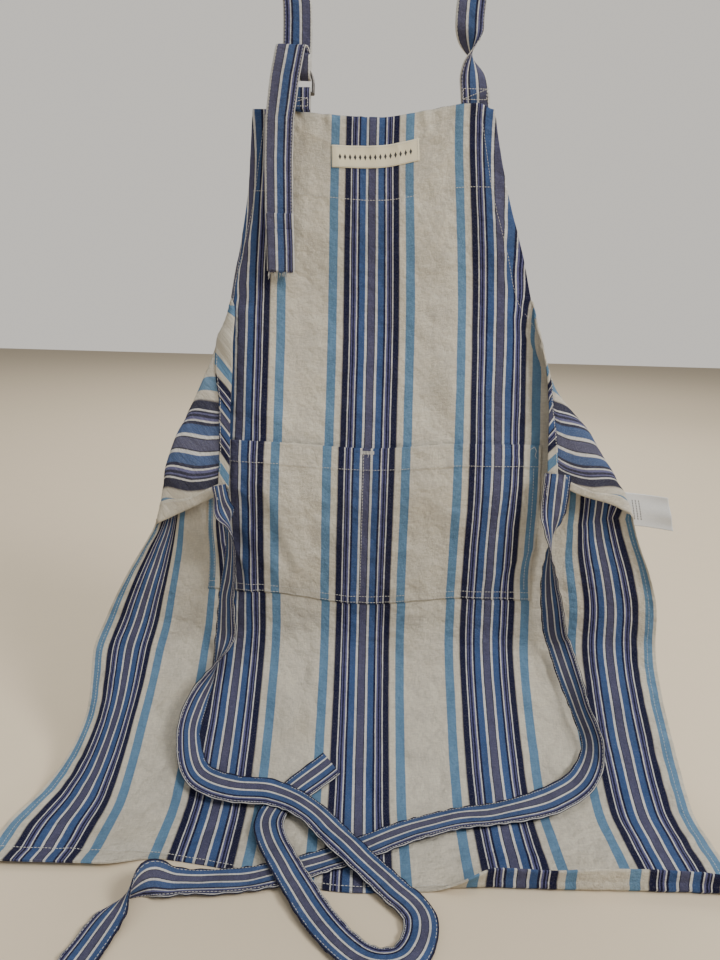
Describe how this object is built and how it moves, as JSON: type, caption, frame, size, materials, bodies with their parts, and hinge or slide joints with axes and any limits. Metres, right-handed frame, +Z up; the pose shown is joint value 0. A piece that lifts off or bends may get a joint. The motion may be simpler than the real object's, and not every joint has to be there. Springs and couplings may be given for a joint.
{
  "type": "butcher apron",
  "caption": "Striped cotton bib apron hung by its adjustable neck loop, with a wide divided patch pocket, two wire rings, two waist ties and its skirt resting on a table.",
  "frame": {"origin": "centre of the neck loop's round arch, midway across the strap's width", "axes": "+Z up along the hanging apron, -Y towards the viewer of its front, +X to the right as seen from the front"},
  "size_m": [0.6053, 0.3622, 0.8756],
  "materials": {
    "striped_cotton": "matte",
    "cotton_thread": "matte",
    "label_woven": "matte",
    "label_satin": "satin",
    "ring_steel": "satin"
  },
  "bodies": {
    "apron": {"body_panel": "striped_cotton", "bib_facing": "striped_cotton", "pocket_panel": "striped_cotton", "woven_label": "label_woven", "thread_facing": "cotton_thread", "thread_armhole_left": "cotton_thread", "thread_armhole_right": "cotton_thread", "thread_side_left": "cotton_thread", "thread_side_right": "cotton_thread", "thread_bottom_hem": "cotton_thread", "thread_pocket_edge": "cotton_thread", "thread_pocket_mouth": "cotton_thread", "thread_pocket_divider": "cotton_thread", "thread_woven_label": "cotton_thread", "bartack_divider": "cotton_thread"},
    "neck_loop": {"neck_strap": "striped_cotton", "ring_tab": "striped_cotton", "thread_ring_tab": "cotton_thread", "thread_strap_base": "cotton_thread"},
    "ring_front": {"d_ring_front": "ring_steel"},
    "ring_rear": {"d_ring_rear": "ring_steel"},
    "loose_tail": {"strap_tail": "striped_cotton"},
    "left_tie": {"waist_tie_left": "striped_cotton", "thread_tie_left": "cotton_thread"},
    "right_tie": {"waist_tie_right": "striped_cotton", "thread_tie_right": "cotton_thread"},
    "care_tag": {"care_label": "label_satin", "thread_care_label": "cotton_thread"}
  },
  "joints": [
    {"name": "neck_loop_fold", "type": "hinge", "parent": "apron", "child": "neck_loop", "pos_m": [0, 0, -0.1625], "axis": [0.9978, 0, 0.0659], "range_deg": [-70, 0]},
    {"name": "ring_front_tilt", "type": "hinge", "parent": "neck_loop", "child": "ring_front", "pos_m": [-0.076, -0.0019, -0.153], "axis": [1, 0, 0], "range_deg": [0, 10]},
    {"name": "ring_rear_tilt", "type": "hinge", "parent": "neck_loop", "child": "ring_rear", "pos_m": [-0.076, 0.0019, -0.153], "axis": [1, 0, 0], "range_deg": [-8, 0]},
    {"name": "tail_lift", "type": "hinge", "parent": "neck_loop", "child": "loose_tail", "pos_m": [-0.076, -0.009, -0.1223], "axis": [1, 0, 0], "range_deg": [-80, 0]},
    {"name": "left_tie_lift", "type": "hinge", "parent": "apron", "child": "left_tie", "pos_m": [-0.143, -0.0548, -0.5155], "axis": [1, 0, 0], "range_deg": [-55, 0]},
    {"name": "right_tie_lift", "type": "hinge", "parent": "apron", "child": "right_tie", "pos_m": [0.183, -0.0529, -0.4959], "axis": [1, 0, 0], "range_deg": [-55, 0]},
    {"name": "care_tag_flip", "type": "hinge", "parent": "apron", "child": "care_tag", "pos_m": [0.257, -0.0435, -0.533], "axis": [0, 0, 1], "range_deg": [0, 60]}
  ],
  "couplings": [
    {"joint": "right_tie_lift", "follows": "left_tie_lift", "ratio": 1}
  ]
}
